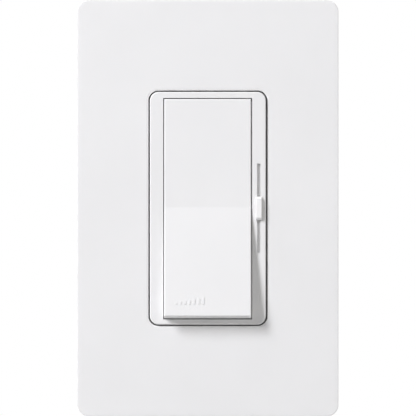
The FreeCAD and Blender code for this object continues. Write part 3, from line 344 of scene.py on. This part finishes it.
def thread_mesh(length, point, radius, depth, pitch):
    """A helical thread along +Z from 0, as a closed mesh; its last stretch, point long, tapers."""
    mesh = bmesh.new()
    profile = [(0.0, 1.0), (CREST, 1.0), (0.5 - ROOT / 2, 0.0), (0.5 + ROOT / 2, 0.0)]
    rings = []
    for i in range(int(length / pitch * STEPS) + 1):
        angle = 2 * math.pi * i / STEPS
        ring = []
        for along, height in profile:
            z = (i / STEPS + along - 1) * pitch
            inside = min(max(z, 0.0), length)
            lead = min(1.0, max(0.0, (length - inside) / point))
            start = min(1.0, inside / (FADE_IN * pitch))
            r = radius - depth + depth * height * min(lead, start) - POINT_DROP * (1 - lead)
            ring.append(mesh.verts.new((r * math.cos(angle), r * math.sin(angle), inside)))
        rings.append(ring)
    for i, ring in enumerate(rings[:-1]):
        after = rings[i + 1]
        for k in range(len(profile) - 1):
            mesh.faces.new((ring[k], after[k], after[k + 1], ring[k + 1]))
        if i + STEPS < len(rings) - 1:
            over, over_after = rings[i + STEPS], rings[i + STEPS + 1]
            mesh.faces.new((ring[-1], after[-1], over_after[0], over[0]))
    bmesh.ops.remove_doubles(mesh, verts=mesh.verts, dist=SAME_POINT)
    holes = [e for e in mesh.edges if e.is_boundary]
    bmesh.ops.holes_fill(mesh, edges=holes)
    bmesh.ops.recalc_face_normals(mesh, faces=mesh.faces)
    return mesh


def solid_parts(node):
    """The node's mesh as one bmesh per separate solid."""
    whole = bmesh.new()
    whole.from_mesh(NODES[node].data)
    bmesh.ops.remove_doubles(whole, verts=whole.verts, dist=SAME_POINT)
    whole.verts.ensure_lookup_table()
    left = set(whole.verts)
    groups = []
    while left:
        stack, group = [left.pop()], set()
        while stack:
            v = stack.pop()
            group.add(v)
            for e in v.link_edges:
                other = e.other_vert(v)
                if other in left:
                    left.remove(other)
                    stack.append(other)
        groups.append(group)
    made = []
    for group in groups:
        part = whole.copy()
        part.verts.ensure_lookup_table()
        keep = {v.index for v in group}
        bmesh.ops.delete(part, geom=[v for v in part.verts if v.index not in keep], context="VERTS")
        made.append(part)
    whole.free()
    return made


def threaded(node, slot, axis, shoulder, tip, point, thread):
    """Replaces a node of plain screws: each keeps its CAD head, and gets a real thread on its shank.

    axis is a unit vector from head to tip; shoulder and tip are distances along it from the origin.
    """
    axis = Vector(axis)
    whole = bmesh.new()
    for part in solid_parts(node):
        bmesh.ops.bisect_plane(part, geom=part.verts[:] + part.edges[:] + part.faces[:], dist=SAME_POINT,
                               plane_co=axis * shoulder, plane_no=axis, clear_outer=True)
        bmesh.ops.holes_fill(part, edges=[e for e in part.edges if e.is_boundary])
        rim = [v.co for v in part.verts if abs(v.co.dot(axis) - shoulder) < RIM_TOLERANCE]
        centre = sum(rim, Vector()) / len(rim)
        shank = thread_mesh(tip - shoulder, point, **thread)
        turn = axis.to_track_quat("Z", "Y").to_matrix().to_4x4()
        shank.transform(Matrix.Translation(centre) @ turn)
        for piece in (part, shank):
            data = bpy.data.meshes.new("part")
            piece.to_mesh(data)
            whole.from_mesh(data)
            bpy.data.meshes.remove(data)
            piece.free()
    add_piece(f"{node}_threaded", whole, "device", slot, node)


def thread_screws():
    """Gives every screw its real thread."""
    for node, slot, axis, start, end, point, thread in SCREWS:
        threaded(node, slot, axis, start * MM, end * MM, point * MM, thread)


def add_piece(name, mesh, body, slot, replaced, place=(0, 0, 0)):
    """Makes a piece of the object from a bmesh: its material, its body and the node it stands for."""
    data = bpy.data.meshes.new(name)
    mesh.to_mesh(data)
    mesh.free()
    piece = bpy.data.objects.new(name, data)
    piece.location = place
    bpy.context.scene.collection.objects.link(piece)
    data.materials.append(SLOT_MATERIALS[slot])
    data.set_sharp_from_angle(angle=SMOOTH_ANGLE)
    for polygon in data.polygons:
        polygon.use_smooth = True
    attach(piece, body)
    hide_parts(replaced)


# ---- Axial components ---------------------------------------------------------------------------

LEAD_R = 0.32 * MM
LEAD_BEND = 0.9 * MM
LEAD_SEGMENTS, BEND_STEPS, BODY_SEGMENTS = 14, 8, 40
RESISTOR_R, RESISTOR_LENGTH = 1.2 * MM, 6.3 * MM
DIAC_R, DIAC_LENGTH = 0.95 * MM, 4.2 * MM
# Half an outline: shares of the body's length, and of its radius.
RESISTOR_PROFILE = ((0.50, 0.0), (0.50, 0.42), (0.475, 0.80), (0.43, 0.97), (0.38, 1.0), (0.31, 0.97),
                    (0.27, 0.86), (0.24, 0.83), (0.0, 0.83))
DIAC_PROFILE = ((0.50, 0.0), (0.50, 0.45), (0.48, 0.72), (0.44, 0.90), (0.38, 0.98), (0.30, 1.0),
                (0.0, 1.0))


def angles(count):
    """That many even steps round a circle."""
    return [2 * math.pi * i / count for i in range(count)]


def join_rings(mesh, rings):
    """Faces between each ring of points and the next."""
    for ring, after in zip(rings, rings[1:]):
        for i in range(len(ring)):
            j = (i + 1) % len(ring)
            mesh.faces.new((ring[i], ring[j], after[j], after[i]))


def turned_body(length, radius, half_profile):
    """A body turned about Z from half its outline."""
    mesh = bmesh.new()
    outline = [(-z, r) for z, r in half_profile] + [(z, r) for z, r in reversed(half_profile[:-1])]
    rings = []
    for z, r in outline:
        rings.append([mesh.verts.new((r * radius * math.cos(a), r * radius * math.sin(a), z * length))
                      for a in angles(BODY_SEGMENTS)])
    join_rings(mesh, rings)
    bmesh.ops.remove_doubles(mesh, verts=mesh.verts, dist=SAME_POINT)
    bmesh.ops.recalc_face_normals(mesh, faces=mesh.faces)
    return mesh


def lead_points(half_span, depth):
    """A lead's route in (y, z): out along Z from the body, round a bend, and down to the board."""
    straight = half_span - LEAD_BEND
    points = [(0.0, 0.0), (0.0, straight)]
    for i in range(1, BEND_STEPS + 1):
        turn = math.pi / 2 * i / BEND_STEPS
        points.append((-LEAD_BEND * (1 - math.cos(turn)), straight + LEAD_BEND * math.sin(turn)))
    return points + [(-depth, half_span)]


def wire(mesh, points, side):
    """Adds a round wire that follows points in the YZ plane, toward +Z or -Z as side is 1 or -1."""
    route = [Vector((0, y, side * z)) for y, z in points]
    level = Vector((1, 0, 0))
    rings = []
    for i, point in enumerate(route):
        before, after = route[max(i - 1, 0)], route[min(i + 1, len(route) - 1)]
        across = (after - before).normalized().cross(level)
        rings.append([mesh.verts.new(point + LEAD_R * (math.cos(a) * level + math.sin(a) * across))
                      for a in angles(LEAD_SEGMENTS)])
    join_rings(mesh, rings)
    for end in (rings[0], rings[-1]):
        mesh.faces.new(end)
    bmesh.ops.recalc_face_normals(mesh, faces=mesh.faces)


def axial_components(node, slot, radius, length, profile):
    """Replaces each plain part of a node by a turned body and a pair of bent leads."""
    for number, part in enumerate(solid_parts(node), 1):
        low = [min(v.co[k] for v in part.verts) for k in range(3)]
        high = [max(v.co[k] for v in part.verts) for k in range(3)]
        part.free()
        centre = Vector(((low[0] + high[0]) / 2, high[1] - radius, (low[2] + high[2]) / 2))
        add_piece(f"{node}_{number}_body", turned_body(length, radius, profile), "device", slot, node,
                  place=centre)
        leads = bmesh.new()
        half_span = (high[2] - low[2]) / 2 - LEAD_R
        for side in (-1, 1):
            wire(leads, lead_points(half_span, centre.y - low[1]), side)
        add_piece(f"{node}_{number}_leads", leads, "device", "tinned_copper", node, place=centre)


# ---- Studio -------------------------------------------------------------------------------------

LENS, SENSOR = 250.0, 36.0
CLIP_NEAR, CLIP_FAR = 0.05, 20
VIEW_HEIGHT = 119.3 * MM    # what the picture's height takes in, just behind the plate's face
FOCUS_DEPTH = 1.5 * MM      # how far behind the face that is
VIEW_RISE = 0.08 * MM       # how far above the plate's middle the picture is centred
VIEW_SIDE = 0.03 * MM       # and how far to its right
LIGHT_TRAVEL = Vector((1.24, 1.0, -1.0)).normalized()    # the way the main light goes
KEY_AWAY, KEY_WIDE, KEY_TALL, KEY_POWER = 2.0, 0.52, 1.05, 46.9
KEY_COLOUR = (0.965, 0.965, 1.0)
ROOM_COLOUR = (1.0, 0.995, 0.985)
ROOM_ABOVE, ROOM_BELOW = 0.36, 0.08
FLOOR_R, FLOOR_Z = 1.2, -1.0
# Name, place, width, height, power and colour.
LAMPS = (
    ("key", -LIGHT_TRAVEL * KEY_AWAY, KEY_WIDE, KEY_TALL, KEY_POWER, KEY_COLOUR),
    ("side_fill", (2.0, -1.2, 0.3), 1.8, 1.8, 12.0, ROOM_COLOUR),
    ("back_fill", (0.5, 1.3, 0.7), 0.9, 0.9, 8.0, (1, 1, 1)),
)


def aim(thing, target):
    """Turns a camera or lamp to look at the target."""
    direction = Vector(target) - thing.location
    thing.rotation_euler = direction.to_track_quat("-Z", "Y").to_euler()


def camera():
    """A long lens straight in front of the plate."""
    data = bpy.data.cameras.new("camera")
    data.lens, data.sensor_width = LENS, SENSOR
    thing = bpy.data.objects.new("camera", data)
    bpy.context.scene.collection.objects.link(thing)
    plate_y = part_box("cover_plate")[0].y + FOCUS_DEPTH
    distance = VIEW_HEIGHT / 2 / (SENSOR / 2 / LENS)
    thing.location = (VIEW_SIDE, plate_y - distance, VIEW_RISE)
    aim(thing, (VIEW_SIDE, plate_y, VIEW_RISE))
    data.clip_start, data.clip_end = CLIP_NEAR, CLIP_FAR
    bpy.context.scene.camera = thing


def lamp(name, location, wide, tall, power, colour):
    """An oval lamp that faces the origin."""
    data = bpy.data.lights.new(name, "AREA")
    data.shape, data.size, data.size_y = "ELLIPSE", wide, tall
    data.energy, data.color = power, colour
    thing = bpy.data.objects.new(name, data)
    thing.visible_camera = False
    thing.location = location
    bpy.context.scene.collection.objects.link(thing)
    aim(thing, (0, 0, 0))


def surroundings():
    """A pale room, brighter above than below, and plain white where the camera sees past the part."""
    world = bpy.data.worlds.new("studio")
    bpy.context.scene.world = world
    world.use_nodes = True
    tree = world.node_tree
    sky = tree.nodes["Background"]
    sky.inputs["Color"].default_value = (*ROOM_COLOUR, 1)
    place = tree.nodes.new("ShaderNodeTexCoord")
    split = tree.nodes.new("ShaderNodeSeparateXYZ")
    rise = tree.nodes.new("ShaderNodeMapRange")
    rise.inputs["From Min"].default_value = -1
    rise.inputs["To Min"].default_value = ROOM_BELOW
    rise.inputs["To Max"].default_value = ROOM_ABOVE
    tree.links.new(place.outputs["Generated"], split.inputs[0])
    tree.links.new(split.outputs["Z"], rise.inputs["Value"])
    tree.links.new(rise.outputs["Result"], sky.inputs["Strength"])
    plain = tree.nodes.new("ShaderNodeBackground")
    plain.inputs["Color"].default_value = (1, 1, 1, 1)
    path = tree.nodes.new("ShaderNodeLightPath")
    mix = tree.nodes.new("ShaderNodeMixShader")
    tree.links.new(path.outputs["Is Camera Ray"], mix.inputs["Fac"])
    tree.links.new(sky.outputs[0], mix.inputs[1])
    tree.links.new(plain.outputs[0], mix.inputs[2])
    tree.links.new(mix.outputs[0], tree.nodes["World Output"].inputs["Surface"])


def pale_floor():
    """A round sheet of pale paper, far below the part."""
    mesh = bmesh.new()
    bmesh.ops.create_circle(mesh, cap_ends=True, segments=96, radius=FLOOR_R,
                            matrix=Matrix.Translation((0, 0, FLOOR_Z)))
    data = bpy.data.meshes.new("floor")
    mesh.to_mesh(data)
    mesh.free()
    floor = bpy.data.objects.new("floor", data)
    bpy.context.scene.collection.objects.link(floor)
    s = Surface("floor_paper", (0.93, 0.93, 0.93), 0.9)
    s.bump(s.noise(2 * MM, 3.0), 0.05 * MM)
    data.materials.append(s.material)


def studio():
    bpy.context.scene.view_settings.view_transform = "Standard"
    camera()
    for row in LAMPS:
        lamp(*row)
    surroundings()
    pale_floor()


# ---- The object ---------------------------------------------------------------------------------

dress_cad_nodes()
thread_screws()
axial_components("resistors", "resistor_tan", RESISTOR_R, RESISTOR_LENGTH, RESISTOR_PROFILE)
axial_components("diac", "diac_blue", DIAC_R, DIAC_LENGTH, DIAC_PROFILE)
studio()
